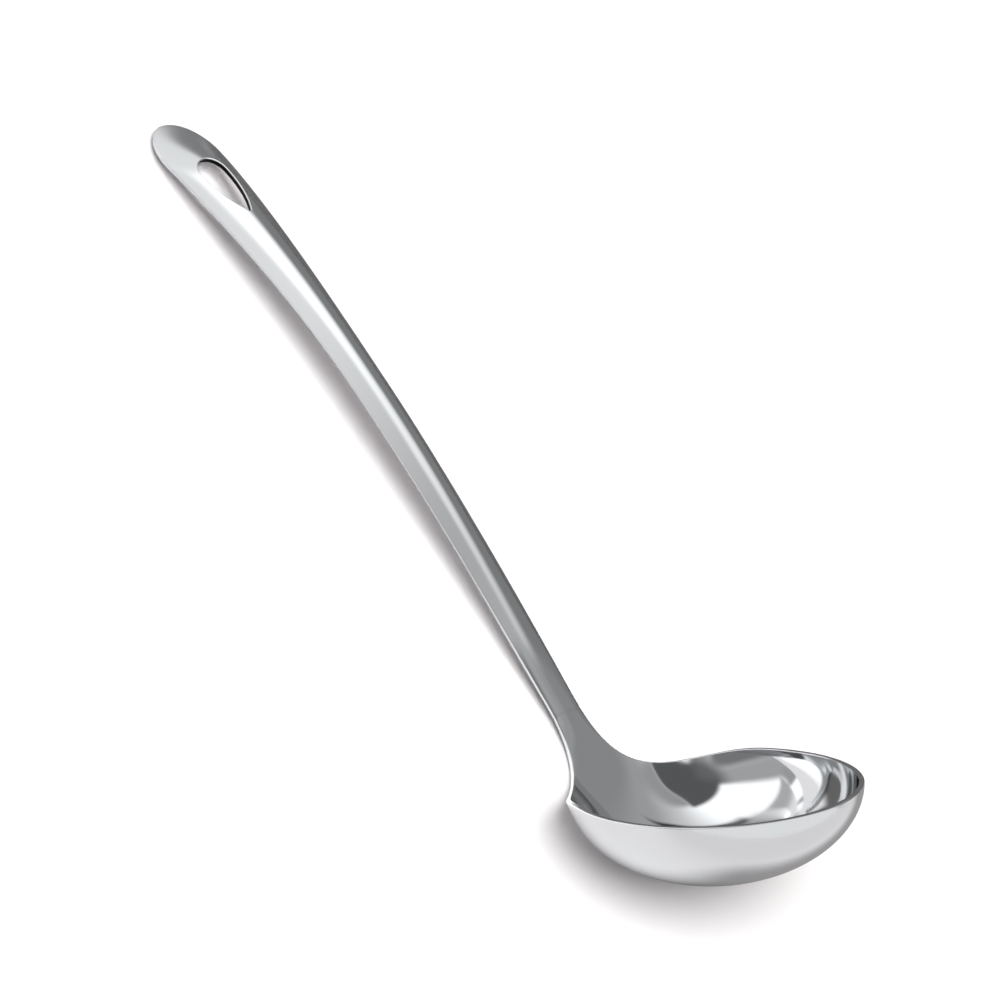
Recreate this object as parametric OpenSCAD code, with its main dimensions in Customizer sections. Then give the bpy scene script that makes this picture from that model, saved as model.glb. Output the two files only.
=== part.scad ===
// Soup ladle, millimetres.
// A stamped bowl runs up into a short neck. The hollow handle is a domed front stamping and
// a back stamping, welded together along their edge and butt welded to the neck. A ring
// lines the hanging hole.
//
// The pieces are drawn with the bowl's rim level: +X from the handle towards the lip, +Y
// across the ladle, +Z up, and zero at the centre of the rim. At the end the ladle is laid
// down as it rests on a table, on the back of its bowl and on the tip of its handle.

/* [Bowl] */
// Outside diameter of the bowl at its rim
bowl_d = 92; // [80:1:110]
// Outside depth of the bowl below its rim
bowl_depth = 29.2; // [24:0.1:36]
// Height above the rim at which the flaring wall would come upright
rim_lift = 0.6; // [0:0.1:6]
// Thickness of the sheet that the bowl and the neck are stamped from
sheet_t = 1.8; // [1.2:0.1:2.4]
// Angle from the handle at which the round rim begins, measured about the bowl's centre
shoulder_angle = 67; // [56:1:74]
// How far the rim runs on along its circle before it turns in to the neck
shoulder_pull = 29.6; // [20:0.2:34]
// How far the rim dips beside the neck
shoulder_dip = 1.3; // [0:0.1:4]

/* [Neck] */
// Distance from the bowl's centre back to the weld at the top of the neck
neck_reach = 62.9; // [58:0.1:70]
// Height of the neck's edges above the rim at that weld
neck_rise = 13.4; // [10:0.1:18]
// Slope of the neck above level
neck_slope = 51.5; // [46:0.5:58]
// Length over which the neck's edges widen into the bowl
neck_flare = 30.6; // [20:0.2:34]
// Width of the neck at the weld
neck_w = 12; // [10:0.2:16]
// Length of the weld along the neck
weld_l = 1.2; // [0.8:0.1:2.5]

/* [Handle] */
// Length of the handle from the weld to its tip, along its curve
handle_l = 234.6; // [190:0.2:270]
// How much flatter the handle slopes at its tip than at the neck
bend_angle = 19.4; // [6:0.2:24]
// Thickness of each handle stamping
shell_t = 0.88; // [0.6:0.02:1.1]
// Clearance between the two stampings where one lies on the other
lap_gap = 0.04; // [0.02:0.01:0.1]
// Width of the handle half way up
middle_w = 14.4; // [11:0.2:17]
// Distance from the weld to that half-way width
middle_at = 116; // [90:1:130]
// Width of the pad at the top of the handle
pad_w = 22.8; // [20:0.2:30]
// Length of the pad's rounded end
pad_nose = 16; // [12:0.5:20]
// Distance from the tip at which the pad is at its widest
pad_at = 22; // [21:0.5:28]
// Height of the dome on the front at the neck
neck_dome = 2.6; // [1.8:0.1:3.2]
// Height of the dome on the front half way up
middle_dome = 3.8; // [2.4:0.1:4.4]
// Height of the dome on the front at the lower end of the pad
pad_dome = 3.5; // [1.6:0.1:4.6]
// Distance from the tip over which that dome rises out of the pad
dome_run = 26; // [20:1:60]
// Distance from the neck over which the back stamping leaves the front one
back_lead = 30; // [20:1:50]
// Distance from the tip at which the two stampings part
back_part = 86; // [70:1:110]
// Width of the weld that joins the two stampings along their edge
seam_w = 0.6; // [0.4:0.1:1]

/* [Hanging hole] */
// Distance from the tip to the round end of the hole
hole_at = 19; // [17:0.5:26]
// Width of the hole
hole_w = 10.6; // [7:0.1:11.5]
// Length of the hole, from its round end to its point
hole_l = 24.4; // [20:0.1:28]
// Wall of the ring that lines the hole
ring_t = 0.6; // [0.4:0.1:1]

/* [Hidden] */
ray_steps = 18;         // points along the bowl's wall, from its bottom to its edge
side_steps = 13;        // points along each shoulder
rim_steps = 32;         // points along the round rim
across_steps = 14;      // cells across the handle
along_steps = 34;       // cells along the handle below its rounded end
nose_steps = 8;         // cells along the rounded end
lead_angle = 12;        // arc of the wall, before its tangent point, that turns into the neck
bend_power = 1.9;       // above 1, the handle bends more towards its tip
taper_power = 1.2;      // above 1, the pad's width holds before it tapers
nose_end = 85;          // angle on the rounded end at which the outline is cut square
cut_reach = 12;         // half height of the cutter for the hanging hole

inner_a = bowl_d / 2 - sheet_t;
inner_c = bowl_depth - sheet_t;
wall_c = inner_c + rim_lift;
wall_a = inner_a / sqrt(1 - pow(rim_lift / wall_c, 2));
top_dir = [-cos(neck_slope), 0, sin(neck_slope)];

// General helpers
function mix(a, b, t) = a * (1 - t) + b * t;
function clamp(t) = min(1, max(0, t));
function smooth(t) = let (c = clamp(t)) c * c * (3 - 2 * c);
function unit(v) = v / norm(v);
function bezier(a, b, c, d, t) =
    let (s = 1 - t) a * s * s * s + b * 3 * s * s * t + c * 3 * s * t * t + d * t * t * t;
function tilt(v) = [v.x * cos(lean) - v.z * sin(lean), v.y, v.x * sin(lean) + v.z * cos(lean)];

// The handle's line through its two edges, seen from the side
body_l = handle_l - pad_nose;
stations = concat(
    [for (i = [0:along_steps]) weld_l + (body_l - weld_l) * i / along_steps],
    [for (i = [1:nose_steps]) body_l + pad_nose * sin(nose_end * i / nose_steps)]);
levels = concat([0], stations);
function slope_at(l) = neck_slope - bend_angle * pow(max(0, l) / handle_l, bend_power);
spine = [for (i = 0, p = [-neck_reach, 0, neck_rise]; i < len(levels);
        step = i + 1 < len(levels) ? levels[i + 1] - levels[i] : 0,
        a = slope_at(levels[i] + step / 2),
        p = p + step * [-cos(a), 0, sin(a)],
        i = i + 1) p];
function spine_at(l) = [lookup(l, [for (i = [0:len(levels) - 1]) [levels[i], spine[i].x]]), 0,
                        lookup(l, [for (i = [0:len(levels) - 1]) [levels[i], spine[i].z]])];

// Half width and dome height at a distance l from the weld
function nose(d, length) = d < length ? sqrt(1 - pow(1 - max(0, d) / length, 2)) : 1;
function taper(d) = pow(sin(90 * clamp((d - pad_at) / (handle_l - middle_at - pad_at))), taper_power);
function side_w(l) = l < middle_at ? mix(neck_w, middle_w, l / middle_at) / 2
                                   : mix(pad_w, middle_w, taper(handle_l - l)) / 2;
function half_w(l) = side_w(l) * nose(handle_l - l, pad_nose);
function inset_w(l) = max(half_w(l) / 2,
    (side_w(l) - seam_w) * nose(handle_l - l - seam_w, pad_nose - seam_w));
function dome(l) = let (d = handle_l - l)
    (l < middle_at ? mix(neck_dome, middle_dome, smooth(l / middle_at))
                   : mix(pad_dome, middle_dome, taper(d))) * smooth(d / dome_run);

// The front surface, as a grid of points: one row for each level, one column across
function across(l, j) = j == 0 ? -half_w(l)
    : j == across_steps ? half_w(l)
    : inset_w(l) * (-1 + 2 * (j - 1) / (across_steps - 2));
function front_point(i, j) = let (l = levels[i], y = across(l, j), a = slope_at(l))
    spine[i] + [0, y, 0] + dome(l) * (1 - pow(y / half_w(l), 2)) * [sin(a), 0, cos(a)];
front = [for (i = [0:len(levels) - 1]) [for (j = [0:across_steps]) front_point(i, j)]];

// Unit normals of a grid, and the grid moved along them
function grid_normal(g, i, j) = let (i0 = max(0, i - 1), i1 = min(len(g) - 1, i + 1),
                                     j0 = max(0, j - 1), j1 = min(len(g[0]) - 1, j + 1))
    unit(cross(g[i][j1] - g[i][j0], g[i1][j] - g[i0][j]));
front_up = [for (i = [0:len(front) - 1]) [for (j = [0:across_steps]) grid_normal(front, i, j)]];
function sunk(depth) = [for (i = [0:len(front) - 1]) [for (j = [0:across_steps])
    front[i][j] - depth * front_up[i][j]]];
under = sunk(shell_t);

// The back stamping lies on the front one at the neck and at the pad, and runs straight
// across from edge to edge in between, which leaves the handle hollow
function nest(l) = let (d = handle_l - l)
    max(1 - smooth((l - back_lead / 3) / back_lead), 1 - smooth((d - back_part / 2) * 2 / back_part));
function back_layer(depth) = let (lapped = sunk(depth))
    [for (i = [0:len(levels) - 1]) let (a = slope_at(levels[i]), f = nest(levels[i]),
                                        left = lapped[i][0], right = lapped[i][across_steps])
        [for (j = [0:across_steps]) let (p = lapped[i][j],
                                         t = (p.y - left.y) / (right.y - left.y))
            mix(mix(left, right, t), p, f)]];
back_top = back_layer(shell_t + lap_gap);
back_low = back_layer(2 * shell_t + lap_gap);
bevel = back_layer(1.5 * shell_t + lap_gap);

// The bowl's wall is cut by planes through its axis. Each cut is an ellipse from the bottom
// up, and then a curve that leaves the ellipse and ends at a point of the bowl's edge.
function tangent_angle(p) = let (q = [norm([p.x, p.y]) / wall_a, (p.z - rim_lift) / wall_c], far = norm(q))
    atan2(q.y, q.x) - acos(min(1, 1 / far));
function outward(p) = unit([p.x, p.y, 0]);
function on_ellipse(p, angle) = outward(p) * wall_a * cos(angle) + [0, 0, rim_lift + wall_c * sin(angle)];
function along_ellipse(p, angle) =
    unit(-outward(p) * wall_a * sin(angle) + [0, 0, wall_c * cos(angle)]);
function wall_ray(p, dir) =
    let (angle = tangent_angle(p) - lead_angle,
         start = on_ellipse(p, angle), start_dir = along_ellipse(p, angle),
         gap = norm(p - start),
         arc = (wall_a + wall_c) / 2 * (angle + 90) * PI / 180,
         share = arc / (arc + gap))
    [for (r = [1:ray_steps]) let (t = r / ray_steps)
        t < share ? on_ellipse(p, -90 + (angle + 90) * t / share)
                  : bezier(start, start + start_dir * gap / 3, p - dir * gap / 3, p,
                           (t - share) / (1 - share))];

// The bowl's edge: across the end of the neck, down one shoulder, round the rim and back
function rim_point(angle) = inner_a * [-cos(angle), sin(angle), 0];
function shoulder(t, side) =
    let (top = front[0][side > 0 ? across_steps : 0],
         rim = rim_point(side * shoulder_angle),
         rim_dir = [-sin(shoulder_angle), -side * cos(shoulder_angle), 0],
         neck_bend = top - neck_flare * top_dir + [0, side * neck_flare / 24, 0],
         rim_bend = rim + shoulder_pull * rim_dir)
    bezier(top, neck_bend, rim_bend, rim, t) - [0, 0, 16 * shoulder_dip * pow(t * (1 - t), 2)];
edge_points = concat(
    [for (j = [0:across_steps]) front[0][j]],
    [for (k = [1:side_steps]) shoulder(k / (side_steps + 1), 1)],
    [for (k = [0:rim_steps]) rim_point(mix(shoulder_angle, 360 - shoulder_angle, k / rim_steps))],
    [for (k = [side_steps:-1:1]) shoulder(k / (side_steps + 1), -1)]);
rays = len(edge_points);
function away_from_neck(k) = let (n = min(k - across_steps, rays - k))
    n <= 0 ? 0 : smooth(2 * n / (side_steps + 1));
edge_dirs = [for (k = [0:rays - 1]) let (p = edge_points[k])
    unit(mix(top_dir, along_ellipse(p, tangent_angle(p)), away_from_neck(k)))];
inside = [for (k = [0:rays - 1]) wall_ray(edge_points[k], edge_dirs[k])];
function wall_normal(k, r) = let (a = inside[(k + rays - 1) % rays], b = inside[(k + 1) % rays])
    unit(cross(b[r] - a[r], r < ray_steps - 1 ? inside[k][r + 1] - inside[k][max(0, r - 1)]
                                             : edge_dirs[k]));
outside = [for (k = [0:rays - 1]) [for (r = [0:ray_steps - 1])
    inside[k][r] - sheet_t * wall_normal(k, r)]];

// How the ladle lies: the lean at which the handle's tip and the back of the bowl touch one
// level floor. lean_to is the lean that brings a foot at the tip level with the bowl.
last = len(levels) - 1;
feet = [for (i = [last - nose_steps:last]) each [bevel[i][0], back_low[min(i, last - 1)][1]]];
function lean_to(foot) = max([for (ray = outside) for (p = ray) atan2(foot.z - p.z, p.x - foot.x)]);
lean = min([for (foot = feet) lean_to(foot)]);
floor_z = min([for (ray = outside) for (p = ray) tilt(p).z]);
end_x = min([for (g = [front, under, back_low]) for (p = g[last]) tilt(p).x]);
lip_x = max([for (ray = outside) for (p = ray) tilt(p).x]);

module laid_down() {
    translate([-(end_x + lip_x) / 2, 0, -floor_z]) rotate([0, -lean, 0]) children();
}

// A plate between two grids of points, made of the cells that keep lists as [row, column]
module plate(top, low, keep) {
    rows = len(top);
    cols = len(top[0]);
    inside_grid = [for (i = [-1:rows - 1]) [for (j = [-1:cols - 1])
        i >= 0 && j >= 0 && i < rows - 1 && j < cols - 1 && keep[i][j]]];
    function kept(i, j) = inside_grid[i + 1][j + 1];
    function at(i, j) = i * cols + j;
    function wall(a, b) = [[a, b, b + rows * cols], [a, b + rows * cols, a + rows * cols]];
    cells = [for (i = [0:rows - 2]) for (j = [0:cols - 2]) if (kept(i, j)) [i, j]];
    top_faces = [for (c = cells) let (a = at(c.x, c.y), b = a + 1, d = a + cols)
        each [[a, d, d + 1], [a, d + 1, b]]];
    low_faces = [for (f = top_faces) [f[2], f[1], f[0]] + rows * cols * [1, 1, 1]];
    walls = [for (c = cells) let (i = c.x, j = c.y, a = at(i, j), b = a + 1, d = a + cols)
        each concat(kept(i - 1, j) ? [] : wall(a, b), kept(i, j + 1) ? [] : wall(b, d + 1),
                    kept(i + 1, j) ? [] : wall(d + 1, d), kept(i, j - 1) ? [] : wall(d, a))];
    polyhedron(concat([for (row = top) each row], [for (row = low) each row]),
               concat(top_faces, low_faces, walls));
}
function all_cells(g) = [for (row = g) [for (p = row) true]];
function part_of(g, row0, row1, col0, col1) =
    [for (i = [row0:row1]) [for (j = [col0:col1]) g[i][j]]];

// The hanging hole, seen square on: round towards the tip, pointed towards the bowl.
// grow moves its outline outwards.
module teardrop(grow) {
    r = hole_w / 2;
    side_l = hole_l - 1.3 * r;
    side_r = (side_l * side_l + r * r) / (2 * r);
    union() {
        translate([r, 0]) circle(r + grow, $fn = 64);
        translate([r, -r - grow]) square([0.3 * r + 0.01, 2 * (r + grow)]);
        intersection() {
            translate([1.3 * r, r - side_r]) circle(side_r + grow, $fn = 160);
            translate([1.3 * r, side_r - r]) circle(side_r + grow, $fn = 160);
            translate([1.3 * r, -hole_w]) square([2 * hole_l, 2 * hole_w]);
        }
    }
}
module hole_cutter(grow) {
    middle = handle_l - hole_at - hole_l / 2;
    translate(spine_at(middle)) rotate([0, slope_at(middle), 0])
        translate([-hole_l / 2, 0, -cut_reach]) linear_extrude(2 * cut_reach) teardrop(grow);
}

// The bowl, with its neck up to the weld
module bowl() {
    bottom = [0, 0, -inner_c];
    points = concat([for (ray = inside) each ray], [for (ray = outside) each ray],
                    [bottom, bottom - [0, 0, sheet_t]]);
    half = rays * ray_steps;
    function at(k, r) = (k % rays) * ray_steps + r;
    inner = [for (k = [0:rays - 1]) each concat(
        [[2 * half, at(k, 0), at(k + 1, 0)]],
        [for (r = [0:ray_steps - 2]) each [[at(k, r), at(k, r + 1), at(k + 1, r + 1)],
                                          [at(k, r), at(k + 1, r + 1), at(k + 1, r)]]])];
    outer = [for (f = inner) [for (v = [f[2], f[1], f[0]]) v < half ? v + half : 2 * half + 1]];
    edge = [for (k = [0:rays - 1]) let (a = at(k, ray_steps - 1), b = at(k + 1, ray_steps - 1))
        each [[a, a + half, b + half], [a, b + half, b]]];
    color("#C9CCCE") laid_down() polyhedron(points, concat(inner, outer, edge));
}

// The butt weld between the neck and the two stampings, ground flush
module neck_weld() {
    low = sunk(2 * shell_t + lap_gap);
    color("#B4B7B9") laid_down()
        plate(part_of(front, 0, 1, 0, across_steps), part_of(low, 0, 1, 0, across_steps),
              all_cells(front));
}

// The domed front stamping
module handle_front() {
    top = part_of(front, 1, last, 0, across_steps);
    low = part_of(under, 1, last, 0, across_steps);
    color("#D2D4D6") laid_down() difference() {
        plate(top, low, all_cells(top));
        hole_cutter(ring_t);
    }
}

// The back stamping, which stops short of the front one's edge by the width of the weld
module handle_back() {
    top = part_of(back_top, 1, last - 1, 1, across_steps - 1);
    low = part_of(back_low, 1, last - 1, 1, across_steps - 1);
    color("#BFC2C4") laid_down() difference() {
        plate(top, low, all_cells(top));
        hole_cutter(ring_t);
    }
}

// The weld that closes the edge between the two stampings, ground to a bevel
module edge_weld() {
    rows = [1:last];
    function is_outer(i, j) = j == 0 || j == across_steps || i == last;
    top = [for (i = rows) [for (j = [0:across_steps]) is_outer(i, j) ? under[i][j] : back_top[i][j]]];
    low = [for (i = rows) [for (j = [0:across_steps]) is_outer(i, j) ? bevel[i][j] : back_low[i][j]]];
    keep = [for (i = rows) [for (j = [0:across_steps])
        j == 0 || j == across_steps - 1 || i == last - 1]];
    color("#A9ACAE") laid_down() plate(top, low, keep);
}

// The ring that lines the hanging hole, trimmed to the faces of the two stampings
module hang_hole_ring() {
    near = [for (i = [0:last]) if (handle_l - levels[i] < hole_at + 2 * hole_l) i];
    row0 = min(near);
    top = part_of(front, row0, last, 0, across_steps);
    low = part_of(sunk(2 * shell_t + lap_gap), row0, last, 0, across_steps);
    color("#9EA1A4") laid_down() intersection() {
        plate(top, low, all_cells(top));
        difference() {
            hole_cutter(ring_t);
            hole_cutter(0);
        }
    }
}

bowl();
neck_weld();
handle_front();
handle_back();
edge_weld();
hang_hole_ring();
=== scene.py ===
# %% [markdown]
# # A polished stainless steel soup ladle
#
# The ladle lies on a white table, on the back of its bowl and on the tip of its handle. It
# is welded together from six pieces: a bowl stamped in one with its neck, a domed front
# and a back stamping that make the hollow handle, a ring that lines the hanging hole, and
# two welds that are ground flush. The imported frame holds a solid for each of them. This
# script builds a finely meshed skin for each one in the same place, gives the skins their
# steel, and sets up the table, the light and the camera.

# %% Load the frame and keep the size of the solids
import math
import bpy
import numpy as np
from mathutils import Matrix, Vector


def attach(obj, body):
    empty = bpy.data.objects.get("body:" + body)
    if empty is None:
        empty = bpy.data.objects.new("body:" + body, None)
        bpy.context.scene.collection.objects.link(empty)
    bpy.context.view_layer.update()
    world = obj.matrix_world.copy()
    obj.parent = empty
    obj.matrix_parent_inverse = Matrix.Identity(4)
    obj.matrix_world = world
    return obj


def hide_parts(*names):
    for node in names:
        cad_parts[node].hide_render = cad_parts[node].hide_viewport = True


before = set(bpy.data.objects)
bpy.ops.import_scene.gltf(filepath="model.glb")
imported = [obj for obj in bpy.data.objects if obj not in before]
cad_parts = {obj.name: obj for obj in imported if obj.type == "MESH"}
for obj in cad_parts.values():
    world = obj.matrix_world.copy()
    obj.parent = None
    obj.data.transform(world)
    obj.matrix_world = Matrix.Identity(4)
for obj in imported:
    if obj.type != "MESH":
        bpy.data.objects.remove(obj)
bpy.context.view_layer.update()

print("solids:", sorted(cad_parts))

# %% [markdown]
# ## The sizes
#
# These are the part's own driving sizes, in millimetres and degrees. The solids have the same
# ones but for the dome at the neck, which is 1.3 mm high here and 2.6 mm in the solids. The
# pieces are drawn with the rim of the bowl level and the handle rising to the left, and are
# laid down on the table at the end, because they are simplest to describe in that position.

# %% Driving sizes
BOWL_D, BOWL_DEPTH, RIM_LIFT, SHEET = 92.0, 29.2, 0.6, 1.8
SHOULDER_ANGLE, SHOULDER_PULL, SHOULDER_DIP = 67.0, 29.6, 1.3
NECK_REACH, NECK_RISE, NECK_SLOPE, NECK_FLARE, NECK_W, WELD_L = 62.9, 13.4, 51.5, 30.6, 12.0, 1.2
HANDLE_L, BEND, SHELL, LAP = 234.6, 19.4, 0.88, 0.04
MIDDLE_W, MIDDLE_AT, PAD_W, PAD_NOSE, PAD_AT = 14.4, 116.0, 22.8, 16.0, 22.0
NECK_DOME, MIDDLE_DOME, PAD_DOME, DOME_RUN = 1.3, 3.8, 3.5, 26.0
BACK_LEAD, BACK_PART, SEAM_W = 30.0, 86.0, 0.6
HOLE_AT, HOLE_W, HOLE_L, RING = 19.0, 10.6, 24.4, 0.6
BEND_POWER, TAPER_POWER, LEAD_ANGLE = 1.9, 1.2, 12.0
WAIST, WAIST_RUN, PROFILE_BLUR = 1 / 24, 6.0, 14
THICK = 2 * SHELL + LAP
LEAN, FLOOR_Z, END_X, LIP_X = 45.3571, -39.165, -287.064, 38.2779
INNER_A, INNER_C = BOWL_D / 2 - SHEET, BOWL_DEPTH - SHEET
WALL_C = INNER_C + RIM_LIFT
WALL_A = INNER_A / math.sqrt(1 - (RIM_LIFT / WALL_C) ** 2)
SLOPE0 = math.radians(NECK_SLOPE)
TOP_DIR = np.array([-math.cos(SLOPE0), 0, math.sin(SLOPE0)])
print("handle thickness %.2f mm, neck sheet %.2f mm" % (THICK, SHEET))

# %% [markdown]
# ## Small helpers
#
# Everything is computed on whole arrays of points at once. `blur` is a running average with
# a bell-shaped weight. Polished metal shows the slightest change of curvature as a kink in
# its reflections, and a blur along a profile takes such kinks out.

# %% Array helpers
def mix(a, b, t):
    return a * (1 - t) + b * t


def smooth(t):
    t = np.clip(t, 0, 1)
    return t * t * (3 - 2 * t)


def unit(v):
    return v / np.linalg.norm(v, axis=-1, keepdims=True)


def blur(values, sigma):
    """Values along axis 0, averaged over about sigma samples each way; both ends stay."""
    values = np.asarray(values, float)
    reach = int(3 * sigma) + 1
    weight = np.exp(-0.5 * (np.arange(-reach, reach + 1) / sigma) ** 2)
    weight /= weight.sum()
    flat = values.reshape(len(values), -1)
    low = 2 * flat[:1] - flat[reach:0:-1]
    high = 2 * flat[-1:] - flat[-2:-reach - 2:-1]
    padded = np.vstack([low, flat, high])
    out = np.stack([np.convolve(col, weight, "valid") for col in padded.T], 1)
    return out.reshape(values.shape)


def laid_down(points):
    """Points as drawn, in mm, to points as the ladle lies on the table, in metres."""
    c, s = math.cos(math.radians(LEAN)), math.sin(math.radians(LEAN))
    x, y, z = points[..., 0], points[..., 1], points[..., 2]
    laid = np.stack([x * c - z * s - (END_X + LIP_X) / 2, y, x * s + z * c - FLOOR_Z], -1)
    return laid / 1000


def turned(vectors):
    c, s = math.cos(math.radians(LEAN)), math.sin(math.radians(LEAN))
    x, y, z = vectors[..., 0], vectors[..., 1], vectors[..., 2]
    return np.stack([x * c - z * s, y, x * s + z * c], -1)


print("rim centre on the table:", np.round(laid_down(np.zeros((1, 3)))[0] * 1000, 2), "mm")

# %% [markdown]
# ## The handle's front surface
#
# The front of the handle is a long dome. Its centre line bends slowly, its width grows from
# the neck and opens into a pad, and its crown stands up to 3.8 mm above its edges. A
# subdivision cage could give such a shape, but its edges would drift from the solids. Here
# the surface is a formula of two numbers, the length from the weld and the distance from
# the middle, which also gives exact normals.

# %% Profiles along the handle
along = np.linspace(0, HANDLE_L, 1201)
step = along[1] - along[0]


def slope_at(l):
    return np.radians(NECK_SLOPE - BEND * (np.maximum(l, 0) / HANDLE_L) ** BEND_POWER)


middle_slope = slope_at(along[:-1] + step / 2)
spine_x = -NECK_REACH - np.concatenate([[0], np.cumsum(np.cos(middle_slope) * step)])
spine_z = NECK_RISE + np.concatenate([[0], np.cumsum(np.sin(middle_slope) * step)])
from_tip = HANDLE_L - along
tapered = np.clip((from_tip - PAD_AT) / (HANDLE_L - MIDDLE_AT - PAD_AT), 0, 1)
taper = np.sin(np.pi / 2 * tapered) ** TAPER_POWER
side_w = np.where(along < MIDDLE_AT, mix(NECK_W, MIDDLE_W, along / MIDDLE_AT),
                  mix(PAD_W, MIDDLE_W, taper)) / 2
crown = np.where(along < MIDDLE_AT, mix(NECK_DOME, MIDDLE_DOME, smooth(along / MIDDLE_AT)),
                 mix(PAD_DOME, MIDDLE_DOME, taper)) * smooth(from_tip / DOME_RUN)
side_w, crown = blur(side_w, PROFILE_BLUR), blur(crown, PROFILE_BLUR)
side_w -= (WAIST + (MIDDLE_W - NECK_W) / 2 / MIDDLE_AT) * along * np.exp(-along / WAIST_RUN)
side_slope, crown_slope = np.gradient(side_w, step), np.gradient(crown, step)
print("half width %.2f to %.2f mm, crown up to %.2f mm" % (side_w.min(), side_w.max(), crown.max()))


# %% The surface as a function of two numbers
def along_value(values, l):
    return np.interp(l, along, values)


def edge_square(l):
    """The square of the half width at l, and its slope along the handle."""
    u = np.clip((HANDLE_L - l) / PAD_NOSE, 0, 1)
    w, dw = along_value(side_w, l), along_value(side_slope, l)
    q = 1 - (1 - u) ** 2
    dq = np.where(u < 1, -2 * (1 - u) / PAD_NOSE, 0)
    return w * w * q, 2 * w * dw * q + w * w * dq


def front(l, y):
    """Point, normal and the two directions along the surface, at length l and distance y."""
    l, y = np.broadcast_arrays(np.asarray(l, float), np.asarray(y, float))
    a = slope_at(l)
    bend = -np.radians(BEND) * BEND_POWER * (np.maximum(l, 1e-9) / HANDLE_L) ** (BEND_POWER - 1) / HANDLE_L
    g, dg = edge_square(np.minimum(l, HANDLE_L - 1e-3))
    d, dd = along_value(crown, l), along_value(crown_slope, l)
    height, over_y = d * (1 - y * y / g), -2 * d * y / g
    over_l = dd * (1 - y * y / g) + d * y * y * dg / (g * g)
    zero = np.zeros_like(a)
    out = np.stack([np.sin(a), zero, np.cos(a)], -1)
    up = np.stack([-np.cos(a), zero, np.sin(a)], -1)
    side = np.array([0.0, 1.0, 0.0])
    point = np.stack([along_value(spine_x, l), y, along_value(spine_z, l)], -1) + height[..., None] * out
    go_l = up * (1 - height * bend)[..., None] + over_l[..., None] * out
    go_y = side + over_y[..., None] * out
    return point, unit(np.cross(go_y, go_l)), go_l, go_y


def sunk(l, y, depth):
    p, n, _, _ = front(l, y)
    return p - depth * n


tip = front(HANDLE_L - 0.01, 0.0)[0]
print("tip of the handle as drawn:", np.round(tip, 2), "mm")

# %% [markdown]
# ## Skins made of patches
#
# Each piece is a closed skin of several patches: a grid of points with a normal at each.
# Patches that meet share their border points, which are merged, so that no skin has a gap.
# The normals come from the formulas and are stored on the corners of the faces. That keeps
# the polish free of facets, and an edge stays crisp where two patches meet at an angle.

# %% A skin and its patches
class Skin:
    def __init__(self):
        self.points, self.normals, self.faces, self.caps, self.shades = [], [], [], [], []
        self.count = 0

    def add(self, points, normals):
        """Stores points with their normals, and says at which number they start."""
        self.points.append(points.reshape(-1, 3))
        self.normals.append(np.broadcast_to(normals, points.shape).reshape(-1, 3))
        self.count += len(self.points[-1])
        return self.count - len(self.points[-1])

    def patch(self, points, normals, wrap=False, shade=0):
        """Adds a grid of rows by columns. wrap joins the last column to the first.

        shade says which of the piece's materials the patch wears.
        """
        normals = np.broadcast_to(normals, points.shape)
        if wrap:
            points = np.concatenate([points, points[:, :1]], 1)
            normals = np.concatenate([normals, normals[:, :1]], 1)
        rows, cols = points.shape[:2]
        start = self.add(points, normals)
        at = start + np.arange(rows * cols).reshape(rows, cols)
        quads = np.stack([at[:-1, :-1], at[:-1, 1:], at[1:, 1:], at[1:, :-1]], -1).reshape(-1, 4)
        q = points.reshape(-1, 3)[quads - start]
        faced = np.cross(q[:, 2] - q[:, 0], q[:, 3] - q[:, 1])
        given = normals.reshape(-1, 3)[quads - start].sum(1)
        if (faced * given).sum() < 0:
            quads = quads[:, ::-1]
        self.faces.append(quads)
        self.shades += [shade] * len(quads)

    def cap(self, loop, normal):
        """Closes a loop of points with one flat face."""
        turn = np.cross(loop - loop.mean(0), np.roll(loop, -1, axis=0) - loop.mean(0)).sum(0)
        if (turn * normal).sum() < 0:
            loop = loop[::-1]
        start = self.add(loop, normal)
        self.caps.append(list(range(start, start + len(loop))))

    def build(self, name):
        """Merges shared points and makes the object, laid down on the table."""
        points, normals = np.vstack(self.points), np.vstack(self.normals)
        faces = np.vstack(self.faces).tolist() + self.caps
        key = np.round(points * 1000 + 0.3713).astype(np.int64)
        _, first, same = np.unique(key, axis=0, return_index=True, return_inverse=True)
        same = same.reshape(-1).tolist()
        corners, polygons, shades = [], [], []
        for face, shade in zip(faces, self.shades + [0] * len(self.caps)):
            ids = [same[v] for v in face]
            keep = [i for i in range(len(ids)) if ids[i] != ids[i - 1]]
            if len(keep) >= 3 and len({ids[i] for i in keep}) == len(keep):
                polygons.append([ids[i] for i in keep])
                shades.append(shade)
                corners.extend(face[i] for i in keep)
        mesh = bpy.data.meshes.new(name)
        mesh.from_pydata(laid_down(points[first]).tolist(), [], polygons)
        mesh.polygons.foreach_set("use_smooth", [True] * len(mesh.polygons))
        mesh.polygons.foreach_set("material_index", shades)
        mesh.normals_split_custom_set(turned(unit(normals[corners])).tolist())
        mesh.update()
        used = {}
        for p in mesh.polygons:
            for e in p.edge_keys:
                used[e] = used.get(e, 0) + 1
        open_edges = sum(n != 2 for n in used.values())
        obj = bpy.data.objects.new(name, mesh)
        bpy.context.scene.collection.objects.link(obj)
        print("%s: %d faces, %d open edges" % (name, len(mesh.polygons), open_edges))
        return obj


# %% [markdown]
# ## Rounded edges
#
# Real sheet seldom ends in a razor edge: after stamping it is ground and polished round.
# The small radius matters to the eye, because it catches a thin line of light along the
# piece. The round is a fillet between two faces that meet at a corner, found from the way
# each of the two faces looks.

# %% Fillets
EDGE_R = 0.42
ARC = 6


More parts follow.
